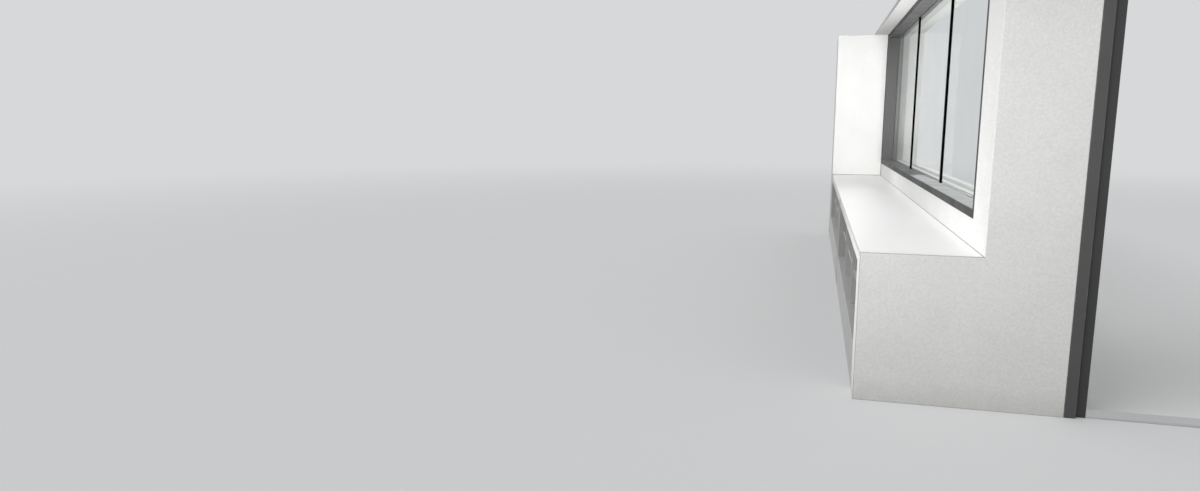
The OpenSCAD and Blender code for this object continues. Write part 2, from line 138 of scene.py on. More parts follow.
# Gypsum plaster rolled with matt white emulsion: broad trowel waves, a fine roller stipple, grey scuffs
# low down. Outside the frame it turns to a float finished render, and the beams' tops are bare concrete.
def paintedPlaster():
    look = {
        "paint": "#ececea",
        "paintShade": "#e8e8e6",
        "render": "#e4e4e1",
        "renderShade": "#d6d6d3",
        "concrete": "#b4b3af",
        "concreteDark": "#96958f",
        "scuff": "#bdbcb8",
        "waveMm": 320,
        "stippleMm": 14,          # the real stipple is about 3 mm, drawn coarser so that it shows
        "grainMm": 7,             # sand grains of about 2 mm, drawn coarser too
        "streaksPerMetre": 9,
        "waveHeight": 0.5 * mm,
        "stippleHeight": 0.22 * mm,
        "grainHeight": 0.7 * mm,
        "waveShade": (0.3, 0.62),     # wave values where the shade ends and the full paint starts
        "speck": (0.93, 1.035),       # how the stipple darkens and lightens the paint
        "roughness": (0.74, 0.88),
        "scuffTop": 0.16,
        "scuffAtFloor": 0.75,
        "maskMargin": 1 * mm,         # masks start a little before a face, so that the face is in them
        "cutMargin": 1.5 * mm,
    }
    material, tree, shader, place = newMaterial("paintedGypsumPlaster", {"Roughness": 0.82})
    wave = addNode(tree, "TexNoise", {"Scale": 1000 / look["waveMm"], "Detail": 3.0}, {"Vector": place})
    stipple = addNode(tree, "TexNoise", {"Scale": 1000 / look["stippleMm"], "Detail": 2.0}, {"Vector": place})
    grain = addNode(tree, "TexNoise", {"Scale": 1000 / look["grainMm"], "Detail": 4.0}, {"Vector": place})
    mottle = addNode(tree, "ValToRGB", {}, {"Fac": wave.outputs["Fac"]})
    for stop, value, paint in zip(mottle.color_ramp.elements, look["waveShade"], ("paintShade", "paint")):
        stop.position = value
        stop.color = toLinear(look[paint])
    speck = addNode(tree, "MapRange", {**noiseSpan, "To Min": look["speck"][0], "To Max": look["speck"][1]},
                    {"Value": stipple.outputs["Fac"]})
    inside = addNode(tree, "Mix", {"data_type": "RGBA", "blend_type": "MULTIPLY", 0: 1.0},
                     {6: mottle.outputs["Color"], 7: speck.outputs["Result"]})
    outside = addNode(tree, "Mix", {"data_type": "RGBA", 6: toLinear(look["renderShade"]),
                                    7: toLinear(look["render"])}, {0: grain.outputs["Fac"]})
    axes = addNode(tree, "SeparateXYZ", {}, {"Vector": place})
    pastFrame = addNode(tree, "Math", {"operation": "GREATER_THAN", 1: frameBackX - look["maskMargin"]},
                        {0: axes.outputs["X"]})
    pastDoor = addNode(tree, "Math", {"operation": "GREATER_THAN", 1: jambHigh[1] - look["maskMargin"]},
                       {0: axes.outputs["Y"]})
    outdoors = addNode(tree, "Math", {"operation": "MULTIPLY"},
                       {0: pastFrame.outputs[0], 1: pastDoor.outputs[0]})
    walls = addNode(tree, "Mix", {"data_type": "RGBA"},
                    {0: outdoors.outputs[0], 6: inside.outputs[2], 7: outside.outputs[2]})
    # Scuffs: darkest at the floor, gone at their top, broken up by streaks
    low = addNode(tree, "MapRange", {"From Max": look["scuffTop"], "To Min": look["scuffAtFloor"],
                                     "To Max": 0.0}, {"Value": axes.outputs["Z"]})
    streak = addNode(tree, "TexNoise", {"Scale": look["streaksPerMetre"], "Detail": 5.0, "Roughness": 0.65},
                     {"Vector": place})
    scuff = addNode(tree, "Math", {"operation": "MULTIPLY"},
                    {0: low.outputs["Result"], 1: streak.outputs["Fac"]})
    dirty = addNode(tree, "Mix", {"data_type": "RGBA", 7: toLinear(look["scuff"])},
                    {0: scuff.outputs[0], 6: walls.outputs[2]})
    # Bare concrete where the beams are cut at their top
    stone = addNode(tree, "Mix", {"data_type": "RGBA", 6: toLinear(look["concreteDark"]),
                                  7: toLinear(look["concrete"])}, {0: streak.outputs["Fac"]})
    cut = addNode(tree, "Math", {"operation": "GREATER_THAN", 1: cadBox[1][2] - look["cutMargin"]},
                  {0: axes.outputs["Z"]})
    colour = addNode(tree, "Mix", {"data_type": "RGBA"},
                     {0: cut.outputs[0], 6: dirty.outputs[2], 7: stone.outputs[2]})
    roughness = addNode(tree, "MapRange", {"To Min": look["roughness"][0], "To Max": look["roughness"][1]},
                        {"Value": stipple.outputs["Fac"]})
    # Height in metres: waves everywhere, stipple inside, sand grain outside and on the concrete
    rough = addNode(tree, "Math", {"operation": "MAXIMUM"}, {0: outdoors.outputs[0], 1: cut.outputs[0]})
    fine = addNode(tree, "Math", {"operation": "MULTIPLY", 1: look["stippleHeight"]},
                   {0: stipple.outputs["Fac"]})
    coarse = addNode(tree, "Math", {"operation": "MULTIPLY", 1: look["grainHeight"]},
                     {0: grain.outputs["Fac"]})
    skin = addNode(tree, "Mix", {"data_type": "FLOAT"},
                   {0: rough.outputs[0], 2: fine.outputs[0], 3: coarse.outputs[0]})
    height = addNode(tree, "Math", {"operation": "MULTIPLY_ADD", 1: look["waveHeight"]},
                     {0: wave.outputs["Fac"], 2: skin.outputs[0]})
    finishMaterial(tree, shader, colour.outputs[2], roughness.outputs["Result"], height.outputs[0])
    return material


# White melamine laminate pressed on chipboard: satin, very fine pearl texture, faint wipe marks
def whiteLaminate():
    look = {
        "face": "#fafaf9",
        "wiped": "#f3f3f2",
        "wipeMm": 200,
        "wipeStretch": 0.35,      # wipe marks run along the boards
        "pearlMm": 5,             # the pressed pearl is under 1 mm, drawn coarser so that it shows
        "pearlHeight": 0.02 * mm,
        "roughness": (0.33, 0.47),
    }
    material, tree, shader, place = newMaterial("satinWhiteLaminate", {"Roughness": 0.38, "IOR": 1.5})
    marks = addNode(tree, "Mapping", {"Scale": (1.0, look["wipeStretch"], 1.0)}, {"Vector": place})
    wiped = addNode(tree, "TexNoise", {"Scale": 1000 / look["wipeMm"], "Detail": 4.0, "Roughness": 0.6},
                    {"Vector": marks.outputs["Vector"]})
    pearl = addNode(tree, "TexNoise", {"Scale": 1000 / look["pearlMm"], "Detail": 1.0}, {"Vector": place})
    colour = addNode(tree, "Mix", {"data_type": "RGBA", 6: toLinear(look["wiped"]),
                                   7: toLinear(look["face"])}, {0: wiped.outputs["Fac"]})
    low, high = look["roughness"]
    roughness = addNode(tree, "MapRange", {**noiseSpan, "To Min": low, "To Max": high},
                        {"Value": wiped.outputs["Fac"]})
    height = addNode(tree, "Math", {"operation": "MULTIPLY", 1: look["pearlHeight"]},
                     {0: pearl.outputs["Fac"]})
    finishMaterial(tree, shader, colour.outputs[2], roughness.outputs["Result"], height.outputs[0])
    return material


# Powder coat on aluminium sections: orange peel, paler where edges have been rubbed, and a sheen that
# runs from matt near 0 to satin at 0.5
def powderCoat(name, face, shade, rubbed, sheen=0.5):
    look = {
        "peelMm": 6,              # orange peel of about 2 mm, drawn coarser so that it shows
        "peelHeight": 0.03 * mm,
        "cloudMm": 250,
        "scrapesPerMetre": 26,
        "scrapeSpan": (0.5, 0.72),    # noise values where a scrape starts and is full
        "rub": (0.1, 0.7),            # share of the rubbed colour on an arris, least and most
        "roughness": (0.4, 0.56),
    }
    material, tree, shader, place = newMaterial(name, {"IOR": 1.5, "Specular IOR Level": sheen})
    cloud = addNode(tree, "TexNoise", {"Scale": 1000 / look["cloudMm"], "Detail": 4.0}, {"Vector": place})
    peel = addNode(tree, "TexNoise", {"Scale": 1000 / look["peelMm"], "Detail": 2.0}, {"Vector": place})
    base = addNode(tree, "Mix", {"data_type": "RGBA", 6: toLinear(shade), 7: toLinear(face)},
                   {0: cloud.outputs["Fac"]})
    edge = addNode(tree, "Attribute", {"attribute_name": "edge"})
    scrape = addNode(tree, "TexNoise", {"Scale": look["scrapesPerMetre"], "Detail": 5.0}, {"Vector": place})
    worn = addNode(tree, "MapRange", {"From Min": look["scrapeSpan"][0], "From Max": look["scrapeSpan"][1],
                                      "To Min": look["rub"][0], "To Max": look["rub"][1]},
                   {"Value": scrape.outputs["Fac"]})
    rub = addNode(tree, "Math", {"operation": "MULTIPLY"},
                  {0: edge.outputs["Fac"], 1: worn.outputs["Result"]})
    colour = addNode(tree, "Mix", {"data_type": "RGBA", 7: toLinear(rubbed)},
                     {0: rub.outputs[0], 6: base.outputs[2]})
    low, high = look["roughness"]
    roughness = addNode(tree, "MapRange", {**noiseSpan, "To Min": low, "To Max": high},
                        {"Value": cloud.outputs["Fac"]})
    height = addNode(tree, "Math", {"operation": "MULTIPLY", 1: look["peelHeight"]},
                     {0: peel.outputs["Fac"]})
    finishMaterial(tree, shader, colour.outputs[2], roughness.outputs["Result"], height.outputs[0])
    return material


# Low-reflective float glass: lets the view through with a faint tint, and its coating holds the mirror
# that grows towards grazing to less than half
def floatGlass():
    look = {"clean": "#fafbfb", "dusty": "#f5f7f7", "dustPerMetre": 3, "polish": 0.02, "coating": 0.45}
    material, tree, shader, place = newMaterial("lowReflectiveFloatGlass", {})
    tree.nodes.remove(shader)
    dust = addNode(tree, "TexNoise", {"Scale": look["dustPerMetre"], "Detail": 5.0}, {"Vector": place})
    tint = addNode(tree, "Mix", {"data_type": "RGBA", 6: toLinear(look["dusty"]),
                                 7: toLinear(look["clean"])}, {0: dust.outputs["Fac"]})
    clear = addNode(tree, "BsdfTransparent", {}, {"Color": tint.outputs[2]})
    shine = addNode(tree, "BsdfGlossy", {"Roughness": look["polish"], "Color": (1, 1, 1, 1)})
    fresnel = addNode(tree, "Fresnel", {"IOR": 1.5})
    side = addNode(tree, "NewGeometry")
    front = addNode(tree, "Math", {"operation": "SUBTRACT", 0: 1.0}, {1: side.outputs["Backfacing"]})
    bare = addNode(tree, "Math", {"operation": "MULTIPLY"}, {0: fresnel.outputs[0], 1: front.outputs[0]})
    mirror = addNode(tree, "Math", {"operation": "MULTIPLY", 1: look["coating"]}, {0: bare.outputs[0]})
    mixed = addNode(tree, "MixShader", {}, {0: mirror.outputs[0], 1: clear.outputs[0], 2: shine.outputs[0]})
    tree.links.new(mixed.outputs[0], tree.nodes["Material Output"].inputs["Surface"])
    return material


# Extruded EPDM rubber: matt, with a dusty bloom
def extrudedRubber(name, face, bloomHex):
    look = {"bloomsPerMetre": 30, "bloomHeight": 0.05 * mm}
    material, tree, shader, place = newMaterial(name, {"Roughness": 0.62})
    bloom = addNode(tree, "TexNoise", {"Scale": look["bloomsPerMetre"], "Detail": 3.0}, {"Vector": place})
    colour = addNode(tree, "Mix", {"data_type": "RGBA", 6: toLinear(face), 7: toLinear(bloomHex)},
                     {0: bloom.outputs["Fac"]})
    height = addNode(tree, "Math", {"operation": "MULTIPLY", 1: look["bloomHeight"]},
                     {0: bloom.outputs["Fac"]})
    finishMaterial(tree, shader, colour.outputs[2], None, height.outputs[0])
    return material


# Honed limestone: cool pale grey, small shell flecks, open pores of a millimetre or two
def honedLimestone():
    look = {
        "body": "#c4c4c0",
        "cloud": "#b1b1ad",
        "fleck": "#dadad6",
        "cloudsPerMetre": 6,
        "fleckMm": 9,             # flecks of 3 to 5 mm, drawn coarser so that they show
        "fleckSpan": (0.1, 0.35),     # distances from a fleck's middle where it starts to fade and is gone
        "fleckStrength": 0.55,
        "poreDepth": 0.15 * mm,
    }
    material, tree, shader, place = newMaterial("honedLimestone", {"Roughness": 0.6, "IOR": 1.5})
    cloud = addNode(tree, "TexNoise", {"Scale": look["cloudsPerMetre"], "Detail": 5.0}, {"Vector": place})
    fleck = addNode(tree, "TexVoronoi", {"Scale": 1000 / look["fleckMm"]}, {"Vector": place})
    base = addNode(tree, "Mix", {"data_type": "RGBA", 6: toLinear(look["cloud"]),
                                 7: toLinear(look["body"])}, {0: cloud.outputs["Fac"]})
    spot = addNode(tree, "MapRange", {"From Min": look["fleckSpan"][0], "From Max": look["fleckSpan"][1],
                                      "To Min": look["fleckStrength"], "To Max": 0.0},
                   {"Value": fleck.outputs["Distance"]})
    colour = addNode(tree, "Mix", {"data_type": "RGBA", 7: toLinear(look["fleck"])},
                     {0: spot.outputs["Result"], 6: base.outputs[2]})
    height = addNode(tree, "Math", {"operation": "MULTIPLY", 1: look["poreDepth"]},
                     {0: fleck.outputs["Distance"]})
    finishMaterial(tree, shader, colour.outputs[2], None, height.outputs[0])
    return material


# Satin anodised aluminium: pale metal with fine draw lines along its length
def anodisedAluminium():
    look = {
        "line": "#b6b8b9",
        "face": "#cfd0d0",
        "lineMm": 2.5,            # draw lines are under 0.5 mm apart, drawn coarser so that they show
        "lineStretch": 0.01,
        "roughness": (0.32, 0.5),
    }
    material, tree, shader, place = newMaterial("satinAnodisedAluminium", {"Metallic": 1.0, "Roughness": 0.4})
    draw = addNode(tree, "Mapping", {"Scale": (1.0, look["lineStretch"], 1.0)}, {"Vector": place})
    lines = addNode(tree, "TexNoise", {"Scale": 1000 / look["lineMm"], "Detail": 2.0},
                    {"Vector": draw.outputs["Vector"]})
    colour = addNode(tree, "Mix", {"data_type": "RGBA", 6: toLinear(look["line"]), 7: toLinear(look["face"])},
                     {0: lines.outputs["Fac"]})
    roughness = addNode(tree, "MapRange", {"To Min": look["roughness"][0], "To Max": look["roughness"][1]},
                        {"Value": lines.outputs["Fac"]})
    finishMaterial(tree, shader, colour.outputs[2], roughness.outputs["Result"])
    return material


# Sawn softwood: pale and dry, with growth lines a few millimetres apart along its length
def sawnSoftwood():
    look = {
        "lateWood": "#a89a84",
        "earlyWood": "#d0c5b0",
        "growthMm": 6.25,
        "growthStretch": 0.04,
        "sawnHeight": 0.5 * mm,
    }
    material, tree, shader, place = newMaterial("sawnSoftwood", {"Roughness": 0.8})
    along = addNode(tree, "Mapping", {"Scale": (1.0, look["growthStretch"], 1.0)}, {"Vector": place})
    grain = addNode(tree, "TexNoise", {"Scale": 1000 / look["growthMm"], "Detail": 5.0, "Distortion": 0.6},
                    {"Vector": along.outputs["Vector"]})
    colour = addNode(tree, "Mix", {"data_type": "RGBA", 6: toLinear(look["lateWood"]),
                                   7: toLinear(look["earlyWood"])}, {0: grain.outputs["Fac"]})
    height = addNode(tree, "Math", {"operation": "MULTIPLY", 1: look["sawnHeight"]},
                     {0: grain.outputs["Fac"]})
    finishMaterial(tree, shader, colour.outputs[2], None, height.outputs[0])
    return material


# Tooled silicone sealant: smooth, slightly glossy, picks up a little dust
def siliconeSealant(name, colourHex, dustHex):
    look = {"dustMm": 25, "tooledHeight": 0.1 * mm}
    material, tree, shader, place = newMaterial(name, {"Roughness": 0.42})
    dust = addNode(tree, "TexNoise", {"Scale": 1000 / look["dustMm"], "Detail": 3.0}, {"Vector": place})
    colour = addNode(tree, "Mix", {"data_type": "RGBA", 6: toLinear(dustHex), 7: toLinear(colourHex)},
                     {0: dust.outputs["Fac"]})
    height = addNode(tree, "Math", {"operation": "MULTIPLY", 1: look["tooledHeight"]},
                     {0: dust.outputs["Fac"]})
    finishMaterial(tree, shader, colour.outputs[2], None, height.outputs[0])
    return material


plaster = paintedPlaster()
laminate = whiteLaminate()
# Each coat by its face, its cloudy shade, its rubbed edges and its sheen
# The frame and its sill plates share one grey metal: the frame's coat is a darker, painted-shade copy for its
# room faces
shadedFrameCoat = powderCoat("greyMattPowderCoat", "#4e4e4e", "#464646", "#808080", 0.1)
# and the plates' lighter copy is painted light on the sill's top
litPlateCoat = powderCoat("greySatinPowderCoat", "#676767", "#5f5f5f", "#939393")
# The beads' grey is raised above the frame's: painted light that lifts the shade along the glass line
beadCoatPaintedLight = powderCoat("paleGreySatinPowderCoat", "#606060", "#585858", "#8f8f8f")
doorCoat = powderCoat("darkGreySatinPowderCoat", "#545454", "#4c4c4c", "#858585")
# The rebate's coat is the door coat made darker: painted shade for the recess behind the frame's front face
rebateShadeCoat = powderCoat("darkGreyMattPowderCoat", "#4d4d4d", "#474747", "#787878", 0.2)
trimCoat = powderCoat("midGreySatinPowderCoat", "#929292", "#888888", "#aaaaaa")
mullionCoat = powderCoat("blackMattPowderCoat", "#060606", "#040404", "#161616", 0.02)
stripCoat = powderCoat("whiteSatinPowderCoat", "#f7f7f6", "#efefee", "#d5d5d4")
glass = floatGlass()
# The gaskets' pale grey is painted light that lifts the shade in the glazing groove
gasketRubberPaintedLight = extrudedRubber("greyExtrudedRubber", "#7c7c7c", "#888888")
sealRubber = extrudedRubber("blackExtrudedRubber", "#171717", "#2a2a2a")
limestone = honedLimestone()
aluminium = anodisedAluminium()
softwood = sawnSoftwood()
whiteSealant = siliconeSealant("whiteSiliconeSealant", "#efefed", "#e2e2df")
greySealant = siliconeSealant("greySiliconeSealant", "#8c8c8a", "#7c7c7a")
print("materials made:", len(bpy.data.materials))


# Rounds each corner of a closed outline by an arc, tangent to both sides, and adds a point a little way
# along each side. An arc takes at most 0.3 of the shorter side and an added point lies at most 0.45 along.
# Gives the points and an edge value: 1 on the arcs and 0 on the added points.
def roundOutline(outline, radius, steps=3, flank=4 * mm):
    most = {"arc": 0.3, "flank": 0.45}
    here = np.asarray(outline, float)
    before = np.roll(here, 1, 0) - here
    after = np.roll(here, -1, 0) - here
    lengthBefore = np.linalg.norm(before, axis=1, keepdims=True)
    lengthAfter = np.linalg.norm(after, axis=1, keepdims=True)
    before, after = before / lengthBefore, after / lengthAfter
    half = np.arccos(np.clip((before * after).sum(1, keepdims=True), -1, 1)) / 2
    reach = np.minimum(radius / np.tan(half), most["arc"] * np.minimum(lengthBefore, lengthAfter))
    centre = here + (before + after) / (2 * np.cos(half)) * reach / np.cos(half)
    start, end = here + before * reach - centre, here + after * reach - centre
    angle = np.arctan2(start[:, 0] * end[:, 1] - start[:, 1] * end[:, 0], (start * end).sum(1))
    turn = angle[:, None] * np.linspace(0, 1, steps + 1)
    arcX = centre[:, :1] + start[:, :1] * np.cos(turn) - start[:, 1:] * np.sin(turn)
    arcY = centre[:, 1:] + start[:, :1] * np.sin(turn) + start[:, 1:] * np.cos(turn)
    arc = np.stack([arcX, arcY], -1)
    first = here + before * np.minimum(reach + flank, most["flank"] * lengthBefore)
    last = here + after * np.minimum(reach + flank, most["flank"] * lengthAfter)
    points = np.concatenate([first[:, None], arc, last[:, None]], 1)
    edge = np.zeros(points.shape[:2])
    edge[:, 1:-1] = 1
    return points.reshape(-1, 2), edge.reshape(-1)


# Rings of points [ring, point, xyz] become a closed skin: quads between rings and a flat cap at each end.
# The enclosed volume tells whether the faces look outwards.
def skinRings(rings):
    ringCount, pointCount = rings.shape[:2]
    points = rings.reshape(-1, 3)
    ring, point = np.meshgrid(np.arange(ringCount - 1), np.arange(pointCount), indexing="ij")
    this = ring * pointCount
    following = (point + 1) % pointCount
    quads = np.stack([this + point, this + following,
                      this + pointCount + following, this + pointCount + point], -1).reshape(-1, 4)
    firstCap = np.arange(pointCount)[::-1]
    lastCap = np.arange(pointCount) + (ringCount - 1) * pointCount
    faces = [*quads.tolist(), firstCap.tolist(), lastCap.tolist()]
    fans = [quads[:, [0, 1, 2]], quads[:, [0, 2, 3]]]
    for cap in (firstCap, lastCap):
        fans.append(np.stack([np.full(pointCount - 2, cap[0]), cap[1:-1], cap[2:]], 1))
    middle = points.mean(0)
    volume = 0.0
    for fan in fans:
        a, b, c = (points[fan[:, k]] - middle for k in range(3))
        volume += np.einsum("ij,ij->i", a, np.cross(b, c)).sum()
    if volume < 0:
        faces = [face[::-1] for face in faces]
    return points, faces


# Puts a finished mesh into the scene as one piece that rides on the body
def addPiece(name, mesh, replaced=()):
    piece = bpy.data.objects.new(name, mesh)
    bpy.context.scene.collection.objects.link(piece)
    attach(piece, "root")
    if replaced:
        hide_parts(*replaced)
    return piece


creaseAngle = 14    # degrees; faces that meet at more than this keep a sharp edge


# Makes one object from one or more skins and gives it its finish
def makePiece(name, skins, material, replaced=(), edge=None):
    points, faces, offset = [], [], 0
    for skinPoints, skinFaces in skins:
        points.append(skinPoints)
        faces.extend([[index + offset for index in face] for face in skinFaces])
        offset += len(skinPoints)
    mesh = bpy.data.meshes.new(name)
    mesh.from_pydata(np.concatenate(points), [], faces)
    mesh.shade_smooth()
    mesh.set_sharp_from_angle(angle=math.radians(creaseAngle))
    if edge is not None:
        attribute = mesh.attributes.new("edge", "FLOAT", "POINT")
        attribute.data.foreach_set("value", np.concatenate(edge).astype(np.float32))
    mesh.materials.append(material)
    return addPiece(name, mesh, replaced)


# A section carried straight from one end to the other. A section point (a, b) lies at
# corner + a * inward + b * depth, and a slanted inward vector at an end makes a mitre there.
def mitredSkin(section, starts, ends, depth):
    rings = []
    for corner, inward in (starts, ends):
        rings.append(np.array(corner, float) + section[:, :1] * np.array(inward, float)
                     + section[:, 1:] * np.array(depth, float))
    return skinRings(np.array(rings))


# A round rod: circle of points round its axis, smaller at both ends by a quarter round of the rim's radius
def rodSkin(base, top, radius, rim=0.3 * mm, around=32, steps=4):
    base, top = np.array(base, float), np.array(top, float)
    axis = (top - base) / np.linalg.norm(top - base)
    side = np.cross(axis, [0.0, 0.0, 1.0] if abs(axis[2]) < 0.9 else [1.0, 0.0, 0.0])
    side /= np.linalg.norm(side)
    other = np.cross(axis, side)
    turn = np.linspace(0, 2 * np.pi, around, endpoint=False)
    circle = np.cos(turn)[:, None] * side + np.sin(turn)[:, None] * other
    quarter = np.linspace(0, np.pi / 2, steps)
    radii = np.concatenate([radius - rim + rim * np.sin(quarter), radius - rim + rim * np.cos(quarter)])
    along = np.concatenate([rim - rim * np.cos(quarter), -rim + rim * np.sin(quarter)])
    centres = np.concatenate([np.repeat(base[None], steps, 0), np.repeat(top[None], steps, 0)])
    rings = centres[:, None] + axis * along[:, None, None] + circle[None] * radii[:, None, None]
    return skinRings(rings)


# The plaster coat: copies of the masonry nodes are merged and united, so that the coat runs on without
# a joint, and every arris gets the small round of a corner bead.
def plasterCoat():
    coat = {
        "masonry": ["corner_pier", "wall_below_window", "far_pier", "window_beam", "door_beam", "end_pier",
                    "cheek_near"],
        "weldGap": 0.1 * mm,
        "flatAngle": 1,
        "arrisRound": 3.5 * mm,
        "arrisSteps": 3,
        "arrisAngle": 40,
    }
    copies = []
    for name in coat["masonry"]:
        copy = bpy.data.objects.new("masonry_" + name, nodes[name].data.copy())
        bpy.context.scene.collection.objects.link(copy)
        weld = copy.modifiers.new("weld", "WELD")
        weld.merge_threshold = coat["weldGap"]
        copies.append(copy)
    body = copies[0]
    for other in copies[1:]:
        join = body.modifiers.new("join", "BOOLEAN")
        join.operation = "UNION"
        join.solver = "EXACT"
        join.object = other
    clean = body.modifiers.new("clean", "DECIMATE")
    clean.decimate_type = "DISSOLVE"
    clean.angle_limit = math.radians(coat["flatAngle"])
    arris = body.modifiers.new("arris", "BEVEL")
    arris.width = coat["arrisRound"]
    arris.segments = coat["arrisSteps"]
    arris.limit_method = "ANGLE"
    arris.angle_limit = math.radians(coat["arrisAngle"])
    bpy.context.view_layer.update()
    evaluated = body.evaluated_get(bpy.context.evaluated_depsgraph_get())
    mesh = bpy.data.meshes.new_from_object(evaluated)
    for copy in copies:
        bpy.data.objects.remove(copy)
    mesh.name = "plaster_coat"
    mesh.materials.clear()
    mesh.materials.append(plaster)
    addPiece("plaster_coat", mesh, coat["masonry"])
    print("plaster coat:", len(mesh.vertices), "vertices")


plasterCoat()


# Dresses a CAD node: its loose triangles are welded, and with a width its sharp edges are softened
def dressNode(name, material, width=0.0):
    soften = {"weldGap": 0.02 * mm, "steps": 2, "sharpAngle": 30}
    node = nodes[name]
    weld = node.modifiers.new("weld", "WELD")
    weld.merge_threshold = soften["weldGap"]
    if width:
        bevel = node.modifiers.new("round", "BEVEL")
        bevel.width = width
        bevel.segments = soften["steps"]
        bevel.limit_method = "ANGLE"
        bevel.angle_limit = math.radians(soften["sharpAngle"])
    node.data.materials.clear()
    node.data.materials.append(material)


# Shelving unit: boards with an edging band have their round in the CAD, the others get theirs here
def shelvingUnit():
    unit = {"boardRound": 1.2 * mm, "cheekRound": 3 * mm}
    for half in ("near", "far"):
        for kind in ("bottom_shelf_", "upper_shelves_"):
            dressNode(kind + half, laminate)
        for kind in ("plinth_", "dividers_", "back_panel_"):
            dressNode(kind + half, laminate, unit["boardRound"])
    dressNode("ledge_fascia", laminate)
    dressNode("ledge_board", laminate)
    for name in ("cheek_middle", "cheek_far", "far_block"):
        dressNode(name, plaster, unit["cheekRound"])
    print("shelving unit dressed")


shelvingUnit()


# Thin grey silicone beads in the inner corners where the ledge meets the wall and the block, and up the
# corner between the block and the window, where the wider grey bead also paints the shade of that corner:
# a section with a concave face that runs from its height on one side to its reach on the other
def ledgeBead():
    bead = {"reach": 5 * mm, "cornerShadeReach": 9 * mm, "wallHeight": 1.5 * mm, "blockHeight": 6 * mm,
            "lip": 0.4 * mm, "root": 3 * mm, "endGap": 1 * mm, "hollowPoints": 7}
    low, high = corners("ledge_board")
    top, root, lip = high[2], bead["root"], bead["lip"]
    blockY = corners("far_block")[0][1]
    nearEnd = (wallX, corners("cheek_near")[0][1] + bead["endGap"], top)
    inCorner = (wallX, blockY, top)
    roomEnd = (low[0] + bead["endGap"], blockY, top)
    upEnd = (wallX, blockY, headHigh[2])
    runs = [(bead["reach"], bead["wallHeight"], nearEnd, inCorner, (-1, 0, 0), (0, 0, 1)),
            (bead["reach"], bead["blockHeight"], inCorner, roomEnd, (0, -1, 0), (0, 0, 1)),
            (bead["cornerShadeReach"], bead["wallHeight"], inCorner, upEnd, (-1, 0, 0), (0, -1, 0))]
    turn = np.linspace(0, np.pi / 2, bead["hollowPoints"])
    skins = []
    for reach, height, start, end, inward, upright in runs:
        hollow = np.stack([reach - (reach - lip) * np.sin(turn), height - (height - lip) * np.cos(turn)], 1)
        section = np.concatenate([[(-root, -root), (reach, -root)], hollow[::-1], [(-root, height)]])
        skins.append(mitredSkin(section, (start, inward), (end, inward), upright))
    makePiece("ledge_joint_bead", skins, greySealant)
    print("ledge bead made")


ledgeBead()


# Slim grey arris trims set into the plaster: along the near end of the ledge and down the corner below it
def arrisTrim():
    trim = {"size": 3.2 * mm, "inset": 0.25 * mm, "arris": 0.6 * mm, "flank": 0.5 * mm}
    low, high = corners("cheek_near")
    near, far = trim["inset"], trim["inset"] + trim["size"]
    outline = [(near, near), (far, near), (far, far), (near, far)]
    section, edge = roundOutline(outline, trim["arris"], 2, trim["flank"])
    x, y, top = low[0], low[1], high[2]
    path = [((x, y, 0), (1, 0, 0)), ((x, y, top), (1, 0, -1)), ((wallX, y, top), (0, 0, -1))]
    skins = [mitredSkin(section, path[k], path[k + 1], (0, 1, 0)) for k in range(2)]
    makePiece("arris_trim", skins, trimCoat, (), [np.tile(edge, 2)] * 2)
    print("arris trim made")


arrisTrim()


# The four mitred members of the window frame: a section with a rebate on its outer side for the glass.
# The beads, gaskets and setting blocks keep their CAD shape with slightly softened edges.
def windowFrame():
    box = {"arris": 1.5 * mm, "rebateDepth": 15 * mm, "gasket": 4 * mm,
           "beadRound": 0.6 * mm, "gasketRound": 0.5 * mm, "blockRound": 0.3 * mm}
    depth = frameBackX - wallX
    lip = paneLow[0] - box["gasket"] - wallX
    floor = frameFace - box["rebateDepth"]
    outline = [(0, 0), (frameFace, 0), (frameFace, lip), (floor, lip), (floor, depth), (0, depth)]
    section, edge = roundOutline(outline, box["arris"])
    low, high = windowZ
    near, far = windowY
    cornersRound = [((wallX, near, low), (0, 1, 1)), ((wallX, far, low), (0, -1, 1)),
                    ((wallX, far, high), (0, -1, -1)), ((wallX, near, high), (0, 1, -1))]
    for k, name in enumerate(["sill", "jamb_far", "head", "jamb_near"]):
        skin = mitredSkin(section, cornersRound[k], cornersRound[(k + 1) % 4], (1, 0, 0))
        makePiece("window_" + name, [skin], shadedFrameCoat, ["frame_" + name], [np.tile(edge, 2)])
    # Beads and gaskets take lighter colours, painted light against the shade of the groove at the glass
    dressNode("glazing_beads", beadCoatPaintedLight, box["beadRound"])
    dressNode("glazing_gaskets", gasketRubberPaintedLight, box["gasketRound"])
    dressNode("setting_blocks", gasketRubberPaintedLight, box["blockRound"])
    print("window frame made")
    return cornersRound


windowCorners = windowFrame()


# A thin white sealant bead closes the joint between the frame and the plaster, inside and outside
def frameSealant():
    bead = {"width": 4 * mm, "proud": 0.6 * mm, "shoulder": 0.4}
    width, proud = bead["width"], bead["proud"]
    section = np.array([(-width, 0), (-width * bead["shoulder"], -proud), (proud, -proud), (proud, 0),
                        (0, width), (-width, width)])
    skins = [mitredSkin(section, windowCorners[k], windowCorners[(k + 1) % 4], (1, 0, 0)) for k in range(4)]
    makePiece("frame_sealant_bead", skins, whiteSealant)
    print("frame sealant made")


frameSealant()


# Sheet on the sill: the cover plates, the folded flashing that shows as a bright line behind the glass, and
# the cap over the stones' nose keep their CAD shape, with the small round of a folded or sheared edge
def sillSheet():
    fold = 0.5 * mm
    dressNode("sill_cover_plates", litPlateCoat, fold)
    dressNode("sill_flashing", stripCoat, fold)
    dressNode("sill_nose_cap", stripCoat, fold)
    print("sill sheet dressed")


sillSheet()


